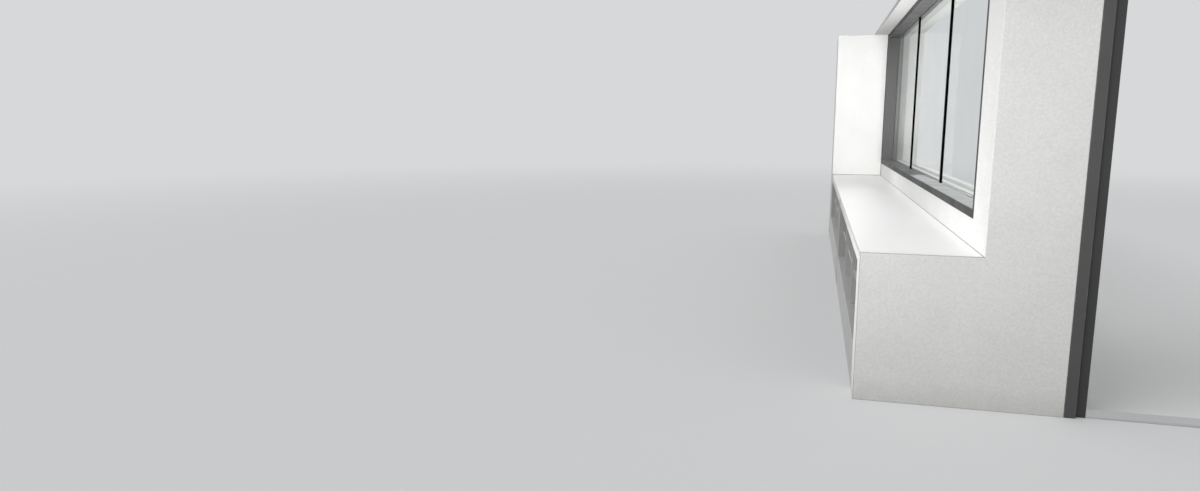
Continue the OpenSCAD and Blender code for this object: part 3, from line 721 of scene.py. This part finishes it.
# The mullions: a nose in front of the glass, a web between the panes and a thin flange behind them
def mullions():
    bar = {"arris": 1.5 * mm, "grip": 7 * mm}
    web = bar["grip"]
    for name in ("mullion_near", "mullion_far"):
        low, high = corners(name)
        width = high[1] - low[1]
        slot, flange, back = paneLow[0] - low[0], paneHigh[0] - low[0], high[0] - low[0]
        outline = [(0, 0), (slot, 0), (slot, web), (flange, web), (flange, 0), (back, 0), (back, width),
                   (flange, width), (flange, width - web), (slot, width - web), (slot, width), (0, width)]
        section, edge = roundOutline(outline, bar["arris"], 2)
        foot, head = ((low[0], low[1], z) for z in (low[2], high[2]))
        skin = mitredSkin(section, (foot, (1, 0, 0)), (head, (1, 0, 0)), (0, 1, 0))
        makePiece(name + "_section", [skin], mullionCoat, [name], [np.tile(edge, 2)])
    print("mullions made")


mullions()


# The outer sill: the three CAD stones, and a grey sealant joint between them that stops short of their faces
def outerSill():
    joint = {"width": 5 * mm, "inset": 4 * mm, "nose": 5 * mm, "fall": 9 * mm, "stoneArris": 1 * mm}
    dressNode("outer_sill", limestone, joint["stoneArris"])
    low, top = outerLow[2] + joint["inset"], outerHigh[2] - joint["inset"]
    back, nose = outerLow[0] + joint["inset"], outerHigh[0] - joint["nose"]
    section = np.array([(low, back), (top, back), (top - joint["fall"], nose), (low, nose)])
    half = joint["width"] / 2
    seals = [mitredSkin(section, ((0, y - half, 0), (0, 0, 1)), ((0, y + half, 0), (0, 0, 1)), (1, 0, 0))
             for y in mullionY]
    makePiece("outer_sill_sealant", seals, greySealant)
    print("outer sill made")


outerSill()


# Entrance frame: a stepped section, mitred at the head and cut square at the floor
def doorFrame():
    portal = {"arris": 1.5 * mm, "frontFace": 60 * mm, "step": 25 * mm, "grooveWidth": 5 * mm,
              "grooveDepth": 6 * mm, "sealGap": 0.2 * mm, "sealInner": 2 * mm, "sealOuter": 4 * mm,
              "sealRound": 1.5 * mm, "slack": 1 * mm}
    depth = jambHigh[1] - jambLow[1]
    width = jambHigh[0] - jambLow[0]
    front, step = portal["frontFace"], portal["step"]
    grooveSide, grooveFloor = front + portal["grooveWidth"], step + portal["grooveDepth"]
    outline = [(0, 0), (front, 0), (front, grooveFloor), (grooveSide, grooveFloor), (grooveSide, step),
               (width, step), (width, depth), (0, depth)]
    section, edge = roundOutline(outline, portal["arris"])
    left, right = doorLow[0], doorHigh[0]
    y, top = jambLow[1], doorHigh[2]
    path = [((left, y, 0), (1, 0, 0)), ((left, y, top), (1, 0, -1)),
            ((right, y, top), (-1, 0, -1)), ((right, y, 0), (-1, 0, 0))]
    # The rebate, the inner part of the section from the groove round to the back, takes a darker matt coat:
    # painted shade for its recess
    middle = (section[:, 0] + np.roll(section[:, 0], -1)) / 2
    finish = [*(middle > front + portal["slack"]).astype(int), 0, 0]
    for k, name in enumerate(["door_jamb_left", "door_head", "door_jamb_right"]):
        skin = mitredSkin(section, path[k], path[k + 1], (0, 1, 0))
        piece = makePiece(name + "_section", [skin], doorCoat, [name], [np.tile(edge, 2)])
        piece.data.materials.append(rebateShadeCoat)
        piece.data.polygons.foreach_set("material_index", finish)
    # A rubber seal sits in the groove, and its round lip stands out of it
    side, floor = grooveSide - portal["sealGap"], grooveFloor - portal["sealGap"]
    lip = [(front, floor), (side, floor), (side, step - portal["sealInner"]),
           (front, step - portal["sealOuter"])]
    bulb, _ = roundOutline(lip, portal["sealRound"], 3, portal["sealGap"])
    seals = [mitredSkin(bulb, path[k], path[k + 1], (0, 1, 0)) for k in range(3)]
    makePiece("door_frame_seal", seals, sealRubber)
    print("door frame made")


doorFrame()


# Aluminium threshold: the CAD profile with its grooves, and countersunk screws beside its middle groove
def threshold():
    plate = {"grooves": 9, "screwPitch": 0.36, "screwInset": 80 * mm, "screwRadius": 3.2 * mm,
             "screwFoot": 2 * mm, "screwSunk": 0.2 * mm}
    dressNode("door_threshold", aluminium)
    low, high = corners("door_threshold")
    height = high[2]
    start, end = low[1] + height / 2, high[1] - height / 2
    y = start + (end - start) / (plate["grooves"] + 1) * (plate["grooves"] / 2)
    count = int((high[0] - low[0]) / plate["screwPitch"])
    foot, head = height - plate["screwFoot"], height - plate["screwSunk"]
    screws = []
    for x in np.linspace(low[0] + plate["screwInset"], high[0] - plate["screwInset"], count + 1):
        screws.append(rodSkin((x, y, foot), (x, y, head), plate["screwRadius"]))
    makePiece("threshold_screws", screws, aluminium)
    print("threshold made with", len(screws), "screws")


threshold()


# The glass and the ceiling's edge keep their CAD shape and take their finish
def glassAndCeiling():
    edge = {"plasterboard": 1 * mm, "batten": 1.5 * mm, "trim": 0.4 * mm}
    for name in ("pane_near", "pane_middle", "pane_far"):
        nodes[name].data.materials.clear()
        nodes[name].data.materials.append(glass)
    dressNode("ceiling_margin", plaster, edge["plasterboard"])
    dressNode("ceiling_batten", softwood, edge["batten"])
    dressNode("ceiling_trim", aluminium, edge["trim"])
    print("glass and ceiling edge dressed")


glassAndCeiling()


# Plain pale floor that keeps the object's shadow and fades into the backdrop colour far away: rings of
# points round the origin at the given radii, and a fan of triangles in the middle
backdropHex = "#d7d8d9"


def studioFloor():
    ground = {"colour": "#f0f1f2", "bounceColour": "#a4a4a4", "radii": (6.0, 12.0, 24.0, 60.0), "spokes": 64,
              "fadeFrom": 9.0, "fadeTo": 26.0}
    spokes = ground["spokes"]
    radii = np.array(ground["radii"])[:, None]
    turn = np.linspace(0, 2 * np.pi, spokes, endpoint=False)
    x, y = radii * np.cos(turn), radii * np.sin(turn)
    rings = np.stack([x, y, np.zeros_like(x)], -1).reshape(-1, 3)
    points = np.concatenate([[[0.0, 0.0, 0.0]], rings])
    spoke = np.arange(spokes)
    following = (spoke + 1) % spokes
    faces = np.stack([np.zeros(spokes, int), spoke + 1, following + 1], 1).tolist()
    for ring in range(len(radii) - 1):
        inner = 1 + ring * spokes
        outer = inner + spokes
        faces += np.stack([inner + spoke, outer + spoke, outer + following, inner + following], 1).tolist()
    mesh = bpy.data.meshes.new("studio_floor")
    mesh.from_pydata(points, [], faces)
    floor = bpy.data.objects.new("studio_floor", mesh)
    bpy.context.scene.collection.objects.link(floor)
    floor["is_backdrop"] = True
    matt = {"Roughness": 0.9, "Specular IOR Level": 0.1}
    material, tree, shader, place = newMaterial("paleStudioFloor", matt)
    light = addNode(tree, "LightPath")
    colour = addNode(tree, "Mix", {"data_type": "RGBA", 6: toLinear(ground["colour"]),
                                   7: toLinear(ground["bounceColour"])}, {0: light.outputs["Is Diffuse Ray"]})
    tree.links.new(colour.outputs[2], shader.inputs["Base Color"])
    distance = addNode(tree, "VectorMath", {"operation": "LENGTH"}, {0: place})
    fade = addNode(tree, "MapRange", {"interpolation_type": "SMOOTHSTEP", "From Min": ground["fadeFrom"],
                                      "From Max": ground["fadeTo"]}, {"Value": distance.outputs["Value"]})
    direct = addNode(tree, "Math", {"operation": "SUBTRACT", 0: 1.0}, {1: light.outputs["Is Diffuse Ray"]})
    seen = addNode(tree, "Math", {"operation": "MULTIPLY"}, {0: fade.outputs["Result"], 1: direct.outputs[0]})
    glow = addNode(tree, "Emission", {"Color": toLinear(backdropHex), "Strength": 1.0})
    mixed = addNode(tree, "MixShader", {}, {0: seen.outputs[0], 1: shader.outputs[0], 2: glow.outputs[0]})
    tree.links.new(mixed.outputs[0], tree.nodes["Material Output"].inputs["Surface"])
    mesh.materials.append(material)
    print("studio floor laid")


studioFloor()


# Puts a lamp in place with its own -Z towards the aim and its X level
def hangLamp(data, at, aim):
    lamp = bpy.data.objects.new(data.name, data)
    bpy.context.scene.collection.objects.link(lamp)
    x, y, z = np.array(aim, float) - np.array(at, float)
    length = math.sqrt(x * x + y * y + z * z)
    lamp.location = at
    lamp.rotation_euler = (math.acos(-z / length), 0, math.atan2(y, x) - math.pi / 2)
    lamp.visible_camera = False
    return lamp


# Soft studio light: even fill from the world, a broad key, and soft lamps. A lamp's "lights" and "skips"
# give the starts of the names of the pieces that it reaches or leaves out. band_lamp is for the wall between
# the ledge and the window. The open unit under the ledge stays in the fill's soft shade.
def studioLight():
    studio = {"fill": 0.47, "keyStrength": 0.8, "keyFrom": (-0.46, -0.38, 0.80), "keyAway": 8, "keyAngle": 34}
    unit = ("plinth_", "bottom_shelf_", "upper_shelves_", "dividers_", "back_panel_", "cheek_")
    lamps = {
        "front_softbox": {"at": (-2.3, -7.2, 2.0), "aim": (-0.95, -3.9, 1.85), "size": (1.6, 1.2),
                          "watts": 9.4, "spread": 82, "skips": unit},
        "side_softbox": {"at": (-4.3, -4.6, 1.5), "aim": (-1.0, -2.9, 1.2), "size": (1.6, 1.2),
                         "watts": 13, "spread": 80, "skips": (*unit, "window_", "ledge_board", "sill_")},
        "daylight": {"at": (2.6, -1.2, 2.7), "aim": (-0.7, 0.0, 1.4), "size": (3.0, 2.0),
                     "watts": 48, "spread": 150},
        "ledge_lamp": {"at": (-2.4, -1.7, 2.3), "aim": (-1.9, -1.7, 0.9), "size": (4.8, 0.5),
                       "watts": 14.4, "spread": 140, "lights": ("ledge_board",)},
        "block_lamp": {"at": (-1.9, -0.6, 1.9), "aim": (-1.4, 3.2, 2.25), "size": (1.4, 1.4),
                       "watts": 19, "spread": 80, "lights": ("far_block",)},
        "band_lamp": {"at": (-2.5, 1.2, 1.7), "aim": (-1.06, 1.20001, 1.02), "size": (0.4, 3.2),
                      "watts": 5.2, "spread": 110, "lights": ("plaster_coat",)},
        "margin_lamp": {"at": (-1.5, -0.5, 1.0), "aim": (-1.1, -0.4, 2.9), "size": (4.0, 0.8),
                        "watts": 32, "spread": 150, "lights": ("ceiling_margin", "ceiling_trim")},
        "soffit_lamp": {"at": (-0.94, -0.4, 1.3), "aim": (-0.9399, -0.4, 2.8), "size": (6.4, 0.15),
                        "watts": 77, "spread": 160, "lights": ("window_head", "glazing_beads")},
        "jamb_lamp": {"at": (-0.95, 1.2, 1.85), "aim": (-0.95, 3.2, 1.85), "size": (0.2, 1.7),
                      "watts": 26, "spread": 110, "lights": ("window_jamb_far", "glazing_beads")},
        "reveal_lamp": {"at": (-0.70, -0.4, 1.2), "aim": (-0.6999, -0.4, 2.8), "size": (6.4, 0.2),
                        "watts": 44, "spread": 160, "lights": ("plaster_coat",)},
        "sun_on_sill": {"at": (0.02, -1.88, 3.6), "aim": (-0.88, -1.88001, 1.125), "size": (3.34, 0.6),
                        "watts": 21, "spread": 5, "lights": ("window_sill", "sill_cover_plates", "glazing_")},
        "sky_outside": {"at": (1.2, -0.4, 3.4), "aim": (-0.6, -0.4001, 1.06), "size": (6.5, 1.0),
                        "watts": 24, "spread": 120,
                        "lights": ("outer_", "sill_flashing", "sill_nose_cap", "glazing_beads")},
    }
    world = bpy.data.worlds.new("studio")
    bpy.context.scene.world = world
    world.use_nodes = True
    tree = world.node_tree
    fill = tree.nodes["Background"]
    fill.inputs["Color"].default_value = (1, 1, 1, 1)
    fill.inputs["Strength"].default_value = studio["fill"]
    path = addNode(tree, "LightPath")
    first = addNode(tree, "Math", {"operation": "MAXIMUM"},
                    {0: path.outputs["Is Camera Ray"], 1: path.outputs["Is Glossy Ray"]})
    seen = addNode(tree, "Math", {"operation": "MAXIMUM"},
                   {0: first.outputs[0], 1: path.outputs["Is Transmission Ray"]})
    backdrop = addNode(tree, "Background", {"Color": toLinear(backdropHex), "Strength": 1.0})
    mixed = addNode(tree, "MixShader", {}, {0: seen.outputs[0], 1: fill.outputs[0], 2: backdrop.outputs[0]})
    tree.links.new(mixed.outputs[0], tree.nodes["World Output"].inputs["Surface"])

    key = bpy.data.lights.new("key", "SUN")
    key.energy = studio["keyStrength"]
    key.angle = math.radians(studio["keyAngle"])
    sun = hangLamp(key, np.array(studio["keyFrom"]) * studio["keyAway"], (0, 0, 0))
    # The panes take no lamp, so that no lamp is mirrored in them
    dressed = [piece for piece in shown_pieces() if not piece.name.startswith("pane_")]
    lit = bpy.data.collections.new("key_reach")
    for piece in [*dressed, bpy.data.objects["studio_floor"]]:
        if not piece.name.startswith(unit):
            lit.objects.link(piece)
    sun.light_linking.receiver_collection = lit
    for name, lamp in lamps.items():
        data = bpy.data.lights.new(name, "AREA")
        data.shape = "RECTANGLE"
        data.size, data.size_y = lamp["size"]
        data.energy = lamp["watts"]
        data.spread = math.radians(lamp["spread"])
        reach = bpy.data.collections.new(name + "_reach")
        lights, skips = lamp.get("lights", ""), lamp.get("skips", ())
        for piece in dressed:
            if piece.name.startswith(lights) and not piece.name.startswith(skips):
                reach.objects.link(piece)
        hangLamp(data, lamp["at"], lamp["aim"]).light_linking.receiver_collection = reach
    print("lamps hung:", len(lamps) + 1)


studioLight()


# The camera stands at the photo's own viewpoint, solved from the room's straight edges. Its angles turn it
# about the upright, tip it up from looking straight down, and roll it.
def camera():
    view = {"eye": (-2.0067, -8.7037, 1.65), "turn": 15.156, "tip": 81.04, "roll": 0.076,
            "lens": 23.4045, "sensor": 36, "farthest": 200}
    data = bpy.data.cameras.new("photo_view")
    data.sensor_width = view["sensor"]
    data.lens = view["lens"]
    data.clip_end = view["farthest"]
    eye = bpy.data.objects.new("photo_view", data)
    bpy.context.scene.collection.objects.link(eye)
    turn = Matrix.Rotation(math.radians(view["turn"]), 4, "Z")
    tip = Matrix.Rotation(math.radians(view["tip"]), 4, "X")
    roll = Matrix.Rotation(math.radians(view["roll"]), 4, "Z")
    eye.matrix_world = Matrix.Translation(view["eye"]) @ turn @ tip @ roll
    bpy.context.scene.camera = eye
    print("camera set")


camera()
bpy.context.scene.view_settings.view_transform = "Standard"
